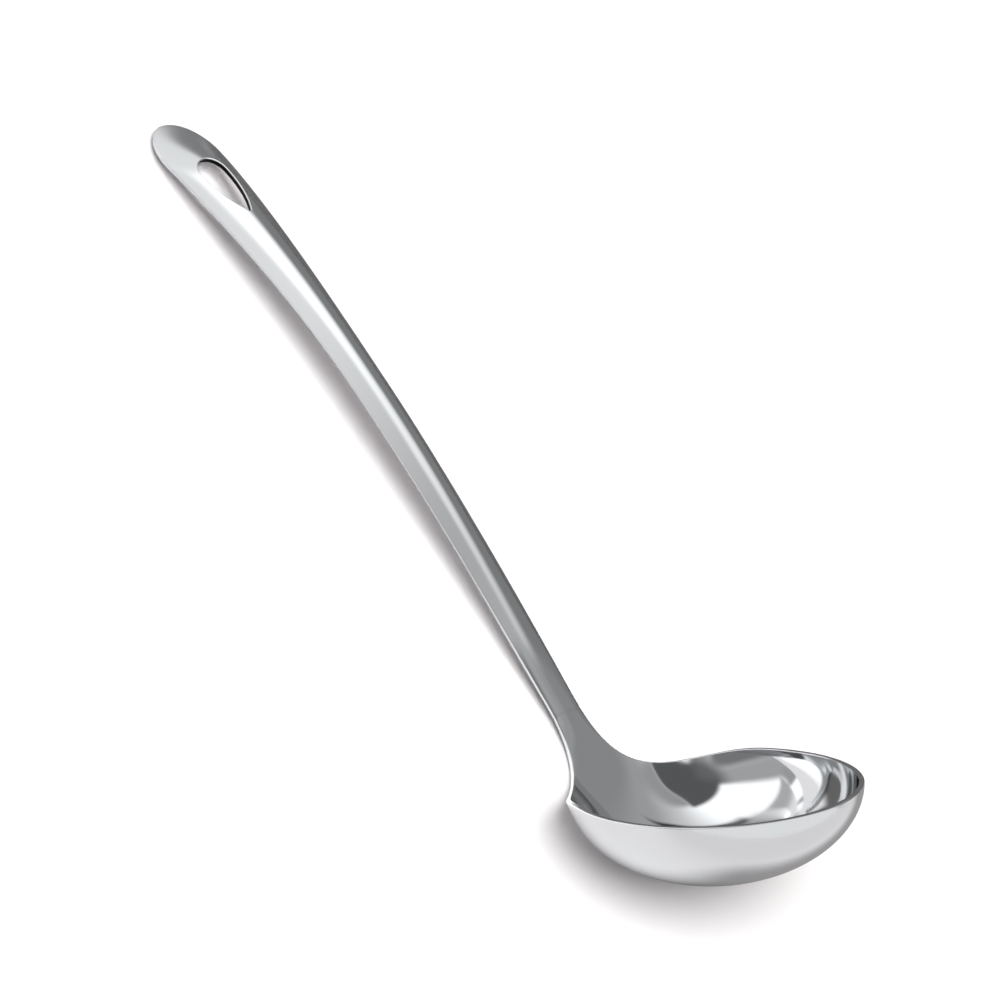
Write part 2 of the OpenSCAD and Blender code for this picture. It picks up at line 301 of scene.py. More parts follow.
def fillet(corner, face_a, face_b, radius, steps=ARC):
    """Points and normals round a corner, from the face that looks along face_a to face_b."""
    cosine = (face_a * face_b).sum(-1, keepdims=True)
    centre = corner - radius * (face_a + face_b) / (1 + cosine)
    angle = np.arccos(np.clip(cosine, -1, 1))
    normals = []
    for t in np.linspace(0, 1, steps + 1):
        normals.append((np.sin((1 - t) * angle) * face_a + np.sin(t * angle) * face_b) / np.sin(angle))
    normals = np.stack(normals, 1)
    return centre[:, None] + radius * normals, normals


# %% The outline of the handle and the frame at its edge
PAD_ZONE = 57.0
PAD_L = HANDLE_L - PAD_ZONE
BODY_L = HANDLE_L - PAD_NOSE
ACROSS = 44
TIP_GAP = 1e-6


def outline(side, l):
    """The edge of the handle at length l, on the side -1 or +1, as (l, y)."""
    return np.stack([l, side * np.sqrt(edge_square(l)[0])], -1)


rise = np.concatenate([np.linspace(PAD_L, BODY_L, 46)[:-1],
                       BODY_L + PAD_NOSE * np.sin(np.linspace(0, np.pi / 2, 34)) * (1 - TIP_GAP)])
pad_line = np.concatenate([outline(-1, rise), outline(1, rise[:-1])[::-1]])
run = np.gradient(pad_line, axis=0)
square_out = unit(np.stack([run[:, 1], -run[:, 0]], -1))
side_out = np.stack([np.zeros(len(run)), np.sign(pad_line[:, 1])], -1)
pad_away = unit(mix(side_out, square_out, smooth((pad_line[:, 0] - PAD_L) / 12)[:, None]))
pad_away[[0, -1]] = side_out[[0, -1]]
weld_rows = np.linspace(0, WELD_L, 4)
handle_rows = np.linspace(WELD_L, PAD_L, 96)


def edge_frame(line, away, distance):
    """Points inset from an outline: as (l, y), in space, with the normal and the way out."""
    _, _, go_l, go_y = front(line[:, 0] - 1e-3, line[:, 1] * 0.999)
    stretch = np.linalg.norm(go_l * away[:, :1] + go_y * away[:, 1:], axis=1)
    inset = line - away * (distance / stretch)[:, None]
    p, n, go_l, go_y = front(inset[:, 0], inset[:, 1])
    out = go_l * away[:, :1] + go_y * away[:, 1:]
    return inset, p, n, unit(out - (out * n).sum(-1, keepdims=True) * n)


def blade_edge(side, l, distance):
    away = np.stack([np.zeros(len(l)), np.full(len(l), float(side))], -1)
    return edge_frame(outline(side, l), away, distance)


def chain(l, distance):
    """The inset edge from the rows l of the left side round the tip to those of the right."""
    left, right = blade_edge(-1, l, distance), blade_edge(1, l, distance)
    pad = edge_frame(pad_line, pad_away, distance)
    return [np.concatenate([a[:-1], b, c[::-1][1:]]) for a, b, c in zip(left, pad, right)]


def blade_grid(l, distance):
    """Rows of (l, y) from one inset edge to the other."""
    u = np.linspace(-1, 1, ACROSS + 1)
    spread = mix(u, np.sin(np.pi / 2 * u), 0.55)
    reach = blade_edge(1, l, distance)[0][:, 1]
    return np.stack([np.broadcast_to(l[:, None], (len(l), ACROSS + 1)), reach[:, None] * spread], -1)


print("points round the edge of the pad:", len(pad_line))

# %% [markdown]
# ## The back of the handle
#
# The back stamping lies against the front one at the neck and at the pad. Between the two it
# runs straight across, and the handle is hollow there. Its surface uses the same two numbers
# as the front, so the two always line up.

# %% The back as a function of the same two numbers
def nest(l):
    """1 where the back lies against the front, 0 where it runs straight across."""
    d = HANDLE_L - l
    return np.maximum(1 - smooth((l - BACK_LEAD / 3) / BACK_LEAD),
                      1 - smooth((d - BACK_PART / 2) * 2 / BACK_PART))


def back(l, y, depth):
    """A point of the back, at a depth below the front surface where the two nest."""
    l, y = np.broadcast_arrays(np.asarray(l, float), np.asarray(y, float))
    lapped, share, low = sunk(l, y, depth), nest(l)[..., None], np.minimum(l, BODY_L)
    w = np.sqrt(edge_square(low)[0])
    left, right = sunk(low, -w, depth), sunk(low, w, depth)
    t = (lapped[..., 1:2] - left[..., 1:2]) / (right[..., 1:2] - left[..., 1:2])
    return mix(mix(left, right, t), lapped, share)


def back_normal(l, y, depth):
    """The way the back looks, away from the front."""
    e = 0.05
    low, high = np.maximum(np.minimum(l, BODY_L) - e, 0), np.minimum(l, BODY_L) + e
    go_y = back(l, y + e, depth) - back(l, y - e, depth)
    go_l = back(high, y, depth) - back(low, y, depth)
    return np.where(nest(l)[..., None] >= 1, -front(l, y)[1], -unit(np.cross(go_y, go_l)))


# %% [markdown]
# ## The hanging hole
#
# The hole is a teardrop, round towards the tip and pointed towards the bowl, cut square
# through the pad. Cutting it with a boolean would leave thin triangles beside it, and they
# spoil a polished face. So the pad's grid is laid in rings instead, from the outline of the
# hole to the outline of the pad, and the hole is the middle that is left open.

# %% The teardrop
HOLE_CENTRE = 10.4
POINT_BLUR = 3.0
FLANK_FROM = 1.3
hole_r = HOLE_W / 2
side_l = HOLE_L - FLANK_FROM * hole_r
side_r = (side_l ** 2 + hole_r ** 2) / (2 * hole_r)
hole_l = HANDLE_L - HOLE_AT - HOLE_L / 2
hole_slope = float(slope_at(hole_l))
hole_along = np.array([math.cos(hole_slope), 0, -math.sin(hole_slope)])
hole_spine = np.array([along_value(spine_x, hole_l), 0, along_value(spine_z, hole_l)])


def teardrop(grow, angles):
    """How far the outline is from the hole's centre in each direction."""
    t = np.linspace(np.pi, np.pi / 2, 200)
    round_end = np.stack([hole_r + (hole_r + grow) * np.cos(t), (hole_r + grow) * np.sin(t)], -1)
    point_x = FLANK_FROM * hole_r + math.sqrt((side_r + grow) ** 2 - (side_r - hole_r) ** 2)
    x = np.linspace(FLANK_FROM * hole_r, point_x, 300)
    flank = np.sqrt((side_r + grow) ** 2 - (x - FLANK_FROM * hole_r) ** 2) - (side_r - hole_r)
    line = np.concatenate([round_end, np.stack([x, np.maximum(flank, 0)], -1)]) - [HOLE_CENTRE, 0]
    turn, far = np.arctan2(line[:, 1], line[:, 0]), np.linalg.norm(line, axis=1)
    fine = np.linspace(0, 2 * np.pi, 721)
    ahead = np.interp(np.abs((fine + np.pi) % (2 * np.pi) - np.pi), turn[::-1], far[::-1])
    softened = blur(np.concatenate([ahead[:-1]] * 3), POINT_BLUR)[720:1441]
    return np.interp(angles % (2 * np.pi), fine, softened)


def dropped(surface, plan):
    """The (l, y) at which a surface passes through each point of the hole's plan."""
    line = np.stack([hole_l + HOLE_L / 2 - plan[:, 0], plan[:, 1]], -1)
    for _ in range(8):
        p = surface(line[:, 0], line[:, 1])
        line[:, 0] += (p - hole_spine) @ hole_along + HOLE_L / 2 - plan[:, 0]
        line[:, 1] -= p[:, 1] - plan[:, 1]
    return line


def pad_ring(distance):
    """The closed outline of the pad's grid, inset: across the blade and round the tip."""
    cross = blade_grid(np.array([PAD_L]), distance)[0][::-1]
    return np.concatenate([cross[:-1], edge_frame(pad_line, pad_away, distance)[0][:-1]])


ring_line = pad_ring(EDGE_R)
ring_angle = np.arctan2(ring_line[:, 1], hole_l + HOLE_L / 2 - ring_line[:, 0] - HOLE_CENTRE)


def hole_plan(grow):
    """Points of the hole's outline, one for each point of the pad's."""
    far = teardrop(grow, ring_angle)
    return np.stack([HOLE_CENTRE + far * np.cos(ring_angle), far * np.sin(ring_angle)], -1)


edge_run = np.roll(hole_plan(0), -1, axis=0) - np.roll(hole_plan(0), 1, axis=0)
into_hole = np.stack([edge_run[:, 1], -edge_run[:, 0]], -1)
into_hole *= np.sign((into_hole * ([HOLE_CENTRE, 0] - hole_plan(0))).sum(1))[:, None]
into_hole = unit(into_hole[:, :1] * hole_along + into_hole[:, 1:] * np.array([0.0, 1.0, 0.0]))
RINGS = 30
ring_share = np.linspace(0, 1, RINGS)
ring_share = mix(ring_share, smooth(ring_share), 0.6)[:, None, None]


def pad_grid(surface, distance):
    """Rings of (l, y) from the lining of the hole to the inset edge of the pad."""
    return mix(dropped(surface, hole_plan(RING))[None], pad_ring(distance)[None], ring_share)


print("points round the hole:", len(ring_line))

# %% [markdown]
# ## The domed front stamping
#
# The stamping is 0.88 mm thick. Its skin is the domed face, the round of its edge down to
# the weld, and the hidden inner face, with a wall where the ring passes through.

# %% The round edge that the stampings share
edge_at, edge_p, edge_n, edge_out = chain(handle_rows, EDGE_R)
edge_corner = edge_p + EDGE_R * edge_out
top_round, top_round_n = fillet(edge_corner, edge_n, edge_out, EDGE_R)
seam_line = edge_corner - SHELL * edge_n
side_points = np.concatenate([top_round, seam_line[:, None]], 1)
side_normals = np.concatenate([top_round_n, edge_out[:, None]], 1)
pad_part = slice(len(handle_rows) - 1, len(edge_at) - len(handle_rows) + 1)


def sheet(skin, surface, normal, distance, border=None):
    """Adds one face of a stamping, with its hole, and returns its border and hole lines."""
    rows = blade_grid(handle_rows, distance)
    blade = surface(rows[..., 0], rows[..., 1])
    blade_n = normal(rows[..., 0], rows[..., 1])
    rings = pad_grid(surface, distance)
    pad = surface(rings[..., 0], rings[..., 1])
    pad_n = normal(rings[..., 0], rings[..., 1])
    if border is not None:
        blade[:, 0], blade[:, -1] = border[:len(handle_rows)], border[::-1][:len(handle_rows)]
        pad[-1, ACROSS:] = border[pad_part][:-1]
        pad[-1, 0] = border[pad_part][-1]
    skin.patch(blade, blade_n)
    skin.patch(pad, pad_n, wrap=True)
    return blade[0], pad[0]


# %% Build the front
front_skin = Skin()
front_end, front_hole = sheet(front_skin, lambda l, y: front(l, y)[0], lambda l, y: front(l, y)[1], EDGE_R)
under_end, under_hole = sheet(front_skin, lambda l, y: sunk(l, y, SHELL),
                              lambda l, y: -front(l, y)[1], EDGE_R, seam_line)
front_skin.patch(side_points, side_normals)
front_skin.patch(np.stack([front_hole, under_hole]), into_hole[None], wrap=True)
toward_neck = -TOP_DIR
front_skin.cap(np.concatenate([side_points[0, ::-1], front_end[1:-1], side_points[-1], under_end[-2:0:-1]]),
               toward_neck)
handle_front = front_skin.build("front_stamping")

# %% [markdown]
# ## The back stamping
#
# The back stops 0.6 mm short of the front's edge all round, which is the width of the weld
# that joins the two. Its outer face is the one that a hand feels under the handle.

# %% Build the back
back_skin = Skin()
low_end, low_hole = sheet(back_skin, lambda l, y: back(l, y, THICK),
                          lambda l, y: back_normal(l, y, THICK), SEAM_W)
top_end, top_hole = sheet(back_skin, lambda l, y: back(l, y, SHELL + LAP),
                          lambda l, y: -back_normal(l, y, SHELL + LAP), SEAM_W)
seam_at = chain(handle_rows, SEAM_W)[0]
seam_low = back(seam_at[:, 0], seam_at[:, 1], THICK)
seam_low_n = back_normal(seam_at[:, 0], seam_at[:, 1], THICK)
seam_top = back(seam_at[:, 0], seam_at[:, 1], SHELL + LAP)
back_skin.patch(np.stack([seam_top, seam_low], 1), edge_out[:, None])
back_skin.patch(np.stack([top_hole, low_hole]), into_hole[None], wrap=True)
back_skin.cap(np.concatenate([top_end, low_end[::-1]]), toward_neck)
handle_back = back_skin.build("back_stamping")

# %% [markdown]
# ## The weld along the edge
#
# The two stampings are welded together all along their edge, and the weld is ground until it
# runs on from the front's round edge. It is one closed strip: the side of the handle, the
# round of its lower edge and, hidden inside, the bottom of the joint.

# %% Build the edge weld
low_depth = ((edge_corner - seam_low) * seam_low_n).sum(1) / (edge_n * seam_low_n).sum(1)
low_corner = edge_corner - low_depth[:, None] * edge_n
low_round, low_round_n = fillet(low_corner, edge_out, seam_low_n, EDGE_R)
seam_skin = Skin()
seam_skin.patch(np.concatenate([seam_line[:, None], low_round, seam_low[:, None]], 1),
                np.concatenate([edge_out[:, None], low_round_n, seam_low_n[:, None]], 1))
seam_skin.patch(np.stack([seam_low, seam_top], 1), -edge_out[:, None])
seam_skin.patch(np.stack([seam_top, seam_line], 1), edge_n[:, None])
for end in (0, -1):
    seam_skin.cap(np.concatenate([seam_line[end:][:1], low_round[end], seam_low[end:][:1],
                                  seam_top[end:][:1]]),
                  toward_neck)
edge_weld = seam_skin.build("edge_weld_bead")

# %% [markdown]
# ## The ring in the hanging hole
#
# A thin ring lines the hole and hides the two cut sheets. Its rims are rounded by the polish
# and give the hole its fine bright outline. Its wall and lower rim wear a near-black, dull
# steel, which is painted shade.

# %% Build the ring
RING_R = 0.3
hole_edge = dropped(lambda l, y: front(l, y)[0], hole_plan(0))
hole_low_edge = dropped(lambda l, y: back(l, y, THICK), hole_plan(0))
ring_top, ring_top_n = front(hole_edge[:, 0], hole_edge[:, 1])[:2]
ring_low = back(hole_low_edge[:, 0], hole_low_edge[:, 1], THICK)
ring_low_n = back_normal(hole_low_edge[:, 0], hole_low_edge[:, 1], THICK)
arc_top, arc_top_n = fillet(ring_top, ring_top_n, into_hole, RING_R)
arc_low, arc_low_n = fillet(ring_low, into_hole, ring_low_n, RING_R)
ring_skin = Skin()
ring_skin.patch(np.concatenate([front_hole[:, None], arc_top], 1).transpose(1, 0, 2),
                np.concatenate([ring_top_n[:, None], arc_top_n], 1).transpose(1, 0, 2), wrap=True)
# The wall, the lower rim and the hidden outside wear the ring's second material, painted shade.
ring_skin.patch(np.concatenate([arc_top[:, -1:], arc_low, low_hole[:, None]], 1).transpose(1, 0, 2),
                np.concatenate([arc_top_n[:, -1:], arc_low_n, ring_low_n[:, None]], 1).transpose(1, 0, 2),
                wrap=True, shade=1)
ring_skin.patch(np.stack([low_hole, front_hole]), -into_hole[None], wrap=True, shade=1)
hole_ring = ring_skin.build("hole_ring")

# %% [markdown]
# ## The weld round the neck
#
# The neck and the handle are butted end to end and welded round. Ground and polished, the
# weld keeps the section of the sheets on both sides of it and hardly shows.

# %% Build the neck weld
def sheet_loops(l):
    """Closed loops round the sheet at each length l: points, normals."""
    rows = blade_grid(l, EDGE_R)
    top_p, top_n = front(rows[..., 0], rows[..., 1])[:2]
    low_p = back(rows[..., 0], rows[..., 1], THICK)
    loop, loop_n = [top_p], [top_n]
    for side, low_part in ((1, True), (-1, False)):
        _, p, n, out = blade_edge(side, l, EDGE_R)
        corner = p + EDGE_R * out
        upper, upper_n = fillet(corner, n, out, EDGE_R)
        lower, lower_n = fillet(corner - THICK * n, out, -n, EDGE_R)
        arc, arc_n = np.concatenate([upper, lower], 1), np.concatenate([upper_n, lower_n], 1)
        if low_part:
            loop += [arc[:, 1:], low_p[:, ::-1][:, 1:]]
            loop_n += [arc_n[:, 1:], -top_n[:, ::-1][:, 1:]]
        else:
            loop.append(arc[:, ::-1][:, 1:-1])
            loop_n.append(arc_n[:, ::-1][:, 1:-1])
    return np.concatenate(loop, 1), np.concatenate(loop_n, 1)


loops, loops_n = sheet_loops(weld_rows)
weld_skin = Skin()
weld_skin.patch(loops, loops_n, wrap=True)
weld_skin.cap(loops[0], toward_neck)
weld_skin.cap(loops[-1], TOP_DIR)
neck_weld = weld_skin.build("neck_weld_bead")

# %% [markdown]
# ## The bowl and its neck
#
# The bowl is a flattened sphere. On the handle's side its wall opens into two shoulders that
# gather up into the neck, all in one sheet. A polished sheet like this can't be patched
# together: every seam would show in the reflections. So it is one formula again. The bowl is
# cut across, from the neck to the lip, and each cut runs from the bowl's edge down to the
# middle and up to the other edge. At the neck the cut is the handle's own dome, turned
# towards the viewer, and in the bowl it is an arc of the flattened sphere.

# %% The bowl's edge and its middle, seen from the side
FINE = 0.05
EASE = 2.0
DOME_FADE = 34.0
FULLNESS = 0.385
NECK_FLAT, FLAT_FROM, FLAT_POWER = 40.0, -46.0, 1.4


def bezier(a, b, c, d, t):
    t, s = t[:, None], 1 - t[:, None]
    return a * s ** 3 + b * 3 * s * s * t + c * 3 * s * t * t + d * t ** 3


t = np.linspace(0, 1, 4001)
turn_in = math.radians(SHOULDER_ANGLE)
neck_top = np.array([-NECK_REACH, NECK_W / 2, NECK_RISE])
rim_start = INNER_A * np.array([-math.cos(turn_in), math.sin(turn_in), 0])
rim_way = np.array([-math.sin(turn_in), -math.cos(turn_in), 0])
shoulder = bezier(neck_top, neck_top - NECK_FLARE * TOP_DIR + [0, NECK_FLARE * WAIST, 0],
                  rim_start + SHOULDER_PULL * rim_way, rim_start, t)
shoulder[:, 2] -= 16 * SHOULDER_DIP * (t * (1 - t)) ** 2
cuts = np.arange(-NECK_REACH, INNER_A + FINE / 2, FINE)
beside_neck = cuts < rim_start[0]
half_sq = np.where(beside_neck, np.interp(cuts, shoulder[:, 0], shoulder[:, 1]) ** 2,
                   np.maximum(INNER_A ** 2 - cuts ** 2, 0))
edge_z = np.where(beside_neck, np.interp(cuts, shoulder[:, 0], shoulder[:, 2]), 0)
far_part = smooth((cuts - rim_start[0] - 6) / 10)
half_sq = mix(blur(half_sq, EASE / FINE), half_sq, far_part)
edge_z = mix(blur(edge_z, EASE / FINE), edge_z, far_part)

crest = (np.array([-NECK_REACH, 0, NECK_RISE])
         + NECK_DOME * np.array([math.sin(SLOPE0), 0, math.cos(SLOPE0)]))
aim = np.array([-crest[0] / WALL_A, (crest[2] - RIM_LIFT) / WALL_C])
leave = math.atan2(aim[1], aim[0]) - math.acos(1 / np.hypot(*aim)) - math.radians(LEAD_ANGLE)
wall_end = np.array([-WALL_A * math.cos(leave), 0, RIM_LIFT + WALL_C * math.sin(leave)])
wall_way = unit(np.array([WALL_A * math.sin(leave), 0, WALL_C * math.cos(leave)]))
gap = np.linalg.norm(crest - wall_end)
rising = bezier(crest, crest - gap / 3 * TOP_DIR, wall_end + FULLNESS * gap * wall_way, wall_end, t)
middle_x = np.arange(crest[0], INNER_A + FINE, FINE)
middle_z = np.where(middle_x < wall_end[0], np.interp(middle_x, rising[:, 0], rising[:, 2]),
                    RIM_LIFT - WALL_C * np.sqrt(1 - np.clip(middle_x / WALL_A, -1, 1) ** 2))
middle_z = mix(blur(middle_z, EASE / FINE), middle_z, smooth((middle_x + 20) / 10))
print("bottom of the bowl inside: %.2f mm below the rim" % -middle_z.min())

# %% The bowl's inner surface as a function of the cut and the distance across
lean_in = NECK_DOME * math.sin(SLOPE0) * (1 - smooth((cuts + NECK_REACH) / DOME_FADE))
rim_flat = math.sqrt(WALL_A ** 2 - INNER_A ** 2)
flat_share = smooth((cuts - FLAT_FROM) / (rim_start[0] - FLAT_FROM)) ** FLAT_POWER
flat = np.exp(mix(math.log(NECK_FLAT), math.log(rim_flat), flat_share))
depth = np.maximum(np.sqrt(flat ** 2 + half_sq) - flat, 1e-9)
shift_x = lean_in / depth
shift_z = np.where(cuts > 5, -WALL_C / WALL_A,
                   (np.interp(cuts + lean_in, middle_x, middle_z) - edge_z) / depth)
tables = {"flat": flat, "half_sq": half_sq, "edge_z": edge_z, "shift_x": shift_x, "shift_z": shift_z}
tables.update({"d_" + name: np.gradient(values, FINE) for name, values in list(tables.items())})


def bowl(c, y):
    """Point and normal inside the bowl on the cut c, at the distance y from the middle."""
    v = {name: np.interp(c, cuts, values) for name, values in tables.items()}
    root = np.sqrt(np.maximum(v["flat"] ** 2 + v["half_sq"] - y * y, 1e-9))
    sag, over_y = root - v["flat"], -y / root
    over_c = (v["flat"] * v["d_flat"] + v["d_half_sq"] / 2) / root - v["d_flat"]
    zero = np.zeros_like(root)
    point = np.stack([c + v["shift_x"] * sag, y + zero, v["edge_z"] + v["shift_z"] * sag], -1)
    go_c = np.stack([1 + v["d_shift_x"] * sag + v["shift_x"] * over_c, zero,
                     v["d_edge_z"] + v["d_shift_z"] * sag + v["shift_z"] * over_c], -1)
    go_y = np.stack([v["shift_x"] * over_y, zero + 1, v["shift_z"] * over_y], -1)
    return point, unit(np.cross(go_c, go_y)), go_c, go_y


# %% Points along the edge, evenly spaced, and the edge inset by its round
EDGE_STEP, INSIDE = 0.85, [-20, 0, 0]
c = -NECK_REACH + (NECK_REACH + INNER_A) * np.sin(np.linspace(0, np.pi / 2, 20001))
w = np.sqrt(np.maximum(np.interp(c, cuts, half_sq), 0))
w[-1] = 0
run_line = np.stack([c, w, np.interp(c, cuts, edge_z)], -1)
length = np.concatenate([[0], np.cumsum(np.linalg.norm(np.diff(run_line, axis=0), axis=1))])
half_points = round(length[-1] / EDGE_STEP)
even = np.linspace(0, length[-1], half_points + 1)
half_edge = np.stack([np.interp(even, length, run_line[:, i]) for i in range(3)], 1)
half_edge[-1] = [INNER_A, 0, 0]
rim = np.concatenate([half_edge, half_edge[-2::-1] * [1, -1, 1]])
rim_run = unit(np.gradient(rim, axis=0))
place = rim[:, :2].copy()
for _ in range(14):
    p, n, go_c, go_y = bowl(place[:, 0], place[:, 1])
    sideways = np.cross(rim_run, n)
    inward = (sideways * (rim - INSIDE)).sum(1) < 0
    side = unit(sideways) * np.where(inward, -1, 1)[:, None]
    miss = rim - EDGE_R * side - p
    cc, cy, yy = (go_c * go_c).sum(1), (go_c * go_y).sum(1), (go_y * go_y).sum(1)
    mc, my = (miss * go_c).sum(1), (miss * go_y).sum(1)
    wide = cc * yy - cy * cy
    place += 0.7 * np.stack([(yy * mc - cy * my) / wide, (cc * my - cy * mc) / wide], 1)
    reach_sq = np.interp(place[:, 0], cuts, half_sq)
    place[:, 1] = np.clip(place[:, 1], -np.sqrt(reach_sq), np.sqrt(reach_sq))
neck_y = blade_grid(np.array([0.0]), EDGE_R)[0][:, 1]
place[0], place[-1] = [-NECK_REACH, neck_y[-1]], [-NECK_REACH, neck_y[0]]
inset_by = np.linalg.norm(miss + EDGE_R * side, axis=1)
print("edge points %d, inset %.2f to %.2f mm" % (len(rim), inset_by.min(), inset_by.max()))

# %% Build the bowl
ROWS = 76
neck_place = np.stack([np.full(ACROSS - 1, -NECK_REACH), neck_y[1:-1]], -1)
border = np.concatenate([place, neck_place])
steep = np.radians(mix(52.0, 87.7, smooth((border[:, 0] + 60) / 36)))
share = np.sin(steep * np.linspace(0, 1, ROWS + 1)[1:, None]) / np.sin(steep)
grid = border[None] * share[..., None]
inner, inner_n = bowl(grid[..., 0], grid[..., 1])[:2]
outer = inner - SHEET * inner_n
bottom, bottom_n = bowl(np.zeros(1), np.zeros(1))[:2]
bowl_skin = Skin()
bowl_skin.patch(np.concatenate([np.repeat(bottom[None], len(border), 1), inner]),
                np.concatenate([np.repeat(bottom_n[None], len(border), 1), inner_n]), wrap=True)
bowl_skin.patch(np.concatenate([np.repeat((bottom - SHEET * bottom_n)[None], len(border), 1), outer]),
                -np.concatenate([np.repeat(bottom_n[None], len(border), 1), inner_n]), wrap=True, shade=1)
edge_n = inner_n[-1, :len(place)]
out = np.cross(rim_run, edge_n)
out = unit(out * np.where((out * (rim - INSIDE)).sum(1) < 0, -1, 1)[:, None])
corner = inner[-1, :len(place)] + EDGE_R * out
upper, upper_n = fillet(corner, edge_n, out, EDGE_R)
lower, lower_n = fillet(corner - SHEET * edge_n, out, -edge_n, EDGE_R)
bowl_skin.patch(np.concatenate([upper, lower], 1), np.concatenate([upper_n, lower_n], 1), shade=1)
band = np.concatenate([upper, lower], 1)
bowl_skin.cap(np.concatenate([inner[-1, len(place):], band[0],
                              outer[-1, len(place):][::-1], band[-1][::-1]]),
              TOP_DIR)
ladle_bowl = bowl_skin.build("bowl_and_neck")

# %% [markdown]
# ## Hanging the skins on the frame
#
# Every skin rides on the ladle's one body and stands for the solid that it was made for.

# %% Ride and replace
pieces = {
    "bowl": (ladle_bowl, "polished_steel"),
    "neck_weld": (neck_weld, "ground_weld"),
    "handle_front": (handle_front, "polished_steel"),
    "handle_back": (handle_back, "polished_steel"),
    "edge_weld": (edge_weld, "ground_weld"),
    "hang_hole_ring": (hole_ring, "polished_steel"),
}
for node, (piece, slot) in pieces.items():
    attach(piece, "root")
    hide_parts(node)
print("skins on the frame:", len(pieces))

# %% [markdown]
# ## Steel
#
# The ladle is taken to be stainless steel; the photograph doesn't tell the grade. Its base
# colour is a light, very slightly cool grey. Everything else that the eye sees in it is
# reflection, so the roughness does the work: the inside of the bowl is buffed close to a
# mirror, and the handle and the outside have a soft, slightly blurred sheen from a belt.
# Only the wall of the hanging hole is painted near-black and dull, which is painted shade.

# %% Colour and node helpers
def linear(hex_colour):
    """An sRGB colour, written as in a paint chart, as the linear colour that Blender uses."""
    parts = [int(hex_colour[i:i + 2], 16) / 255 for i in (1, 3, 5)]
    return tuple(c / 12.92 if c <= 0.04045 else ((c + 0.055) / 1.055) ** 2.4 for c in parts) + (1,)


def add_node(tree, kind, settings=None, **inputs):
    """Adds a node. settings are its own values, and inputs are numbers, colours or links."""
    node = tree.nodes.new("ShaderNode" + kind)
    for name, value in (settings or {}).items():
        setattr(node, name, value)
    for name, value in inputs.items():
        socket = node.inputs[int(name[1:])] if name[1:].isdigit() else node.inputs[name.replace("_", " ")]
        if isinstance(value, bpy.types.NodeSocket):
            tree.links.new(value, socket)
        else:
            socket.default_value = value
    return node


def new_material(name):
    mat = bpy.data.materials.new(name)
    mat.use_nodes = True
    mat.node_tree.nodes.clear()
    return mat, mat.node_tree


# %% The steels
def steel(name, colour, roughness, spread, line_mm, depth):
    """Polished stainless steel: roughness varies by spread, with faint polishing lines."""
    mat, tree = new_material(name)
    where = add_node(tree, "TexCoord").outputs["Object"]
    cloud = add_node(tree, "TexNoise", Vector=where, Scale=60.0, Detail=3.0)
    stretched = add_node(tree, "Mapping", Vector=where, Scale=(60.0, 1000.0 / line_mm, 1000.0 / line_mm))
    lines = add_node(tree, "TexNoise", Vector=stretched.outputs[0], Scale=1.0, Detail=4.0, Roughness=0.6)
    both = add_node(tree, "Math", {"operation": "ADD"}, i0=cloud.outputs[0], i1=lines.outputs[0])
    rough = add_node(tree, "MapRange", Value=both.outputs[0], From_Min=0.7, From_Max=1.3,
                     To_Min=roughness - spread, To_Max=roughness + spread)
    bump = add_node(tree, "Bump", Height=lines.outputs[0], Strength=depth, Distance=0.00002)
    shader = add_node(tree, "BsdfPrincipled", Base_Color=linear(colour), Metallic=1.0,
                      Roughness=rough.outputs[0], Normal=bump.outputs[0])
    add_node(tree, "OutputMaterial", Surface=shader.outputs[0])
    return mat


buffed = steel("stainless_buffed_mirror_inside_of_bowl", "#D4D6D8", 0.07, 0.02, 0.5, 0.05)
satin = steel("stainless_belt_polished_soft_sheen", "#D4D6D8", 0.17, 0.03, 0.35, 0.06)
ground = steel("stainless_weld_ground_and_polished", "#CFD1D3", 0.2, 0.04, 0.3, 0.08)
# The hole wall's near-black, dull steel is painted shade inside the hole, not the steel's own colour.
bore_painted_shade = steel("stainless_hole_wall_painted_black_shade", "#19191A", 0.5, 0.06, 0.3, 0.1)
ladle_bowl.data.materials.append(buffed)
for piece in (ladle_bowl, handle_front, handle_back, hole_ring):
    piece.data.materials.append(satin)
hole_ring.data.materials.append(bore_painted_shade)
for piece in (neck_weld, edge_weld):
    piece.data.materials.append(ground)

# %% [markdown]
# ## The camera
#
# The view in the photograph looks nearly parallel, as through a long lens from far away.
# The camera stands 13 m off with a lens long enough to fill the frame, looks down at the
# ladle as it did there, and is rolled a little. One pixel stands for 0.31 mm at half the
# ladle's depth.

# %% Place the camera
AZIMUTH, HEIGHT, ROLL = math.radians(45), math.radians(15.25), math.radians(2.9)
MM_PER_PIXEL, RIM_AT = 0.3105, (715.4, 785.9)
FAR_OFF, HALF_DEPTH = 13.0, 0.05
PIXELS, SENSOR = 1000, 36.0
to_camera = np.array([math.sin(AZIMUTH) * math.cos(HEIGHT),
                      -math.cos(AZIMUTH) * math.cos(HEIGHT), math.sin(HEIGHT)])
right = np.array([math.cos(AZIMUTH), math.sin(AZIMUTH), 0])
up = np.cross(to_camera, right)
cr, sr = math.cos(ROLL), math.sin(ROLL)
right, up = cr * right - sr * up, sr * right + cr * up
to_camera, right, up = turned(to_camera), turned(right), turned(up)
rim_centre = laid_down(np.zeros(3))
across_mm = (PIXELS / 2 - RIM_AT[0]) * MM_PER_PIXEL
up_mm = (RIM_AT[1] - PIXELS / 2) * MM_PER_PIXEL
target = rim_centre + (across_mm * right + up_mm * up) / 1000 - HALF_DEPTH * to_camera
camera_data = bpy.data.cameras.new("camera")
camera = bpy.data.objects.new("camera", camera_data)
bpy.context.scene.collection.objects.link(camera)
bpy.context.scene.camera = camera
camera_data.sensor_width = SENSOR
